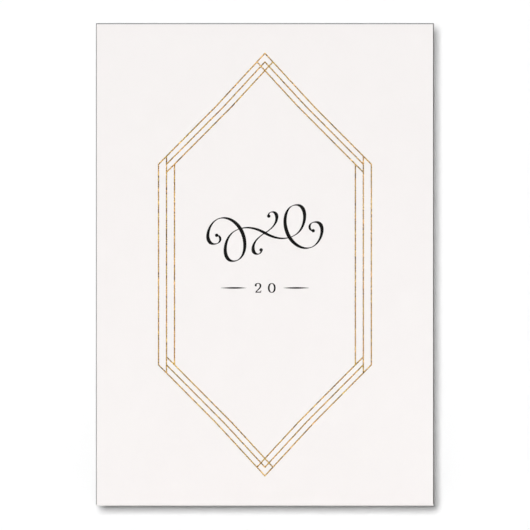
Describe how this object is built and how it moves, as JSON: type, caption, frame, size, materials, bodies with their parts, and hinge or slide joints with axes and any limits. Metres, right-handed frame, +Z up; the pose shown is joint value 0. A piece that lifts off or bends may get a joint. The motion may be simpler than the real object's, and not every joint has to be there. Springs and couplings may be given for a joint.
{
  "type": "table number card",
  "caption": "Upright printed table number card with a gold line frame, a pen flourish and a numeral on a pasted paper board.",
  "frame": {"origin": "middle of the bottom edge, halfway through the thickness of the board", "axes": "+X to the right as the printed front is read, +Y out of the plain back, +Z up the height of the card"},
  "size_m": [0.0888, 0.0005, 0.127],
  "materials": {
    "board": "uncoated, cut edges showing",
    "paper": "matte off-white with a faint warm pink cast",
    "foil": "fine glittering gold foil",
    "ink": "satin black ink"
  },
  "bodies": {
    "root": {"card_core": "board", "front_paper": "paper", "back_paper": "paper", "foil_outer_frame": "foil", "foil_middle_frame": "foil", "foil_inner_frame": "foil", "pen_flourish": "ink", "table_numeral": "ink", "numeral_rules": "ink"}
  },
  "joints": []
}
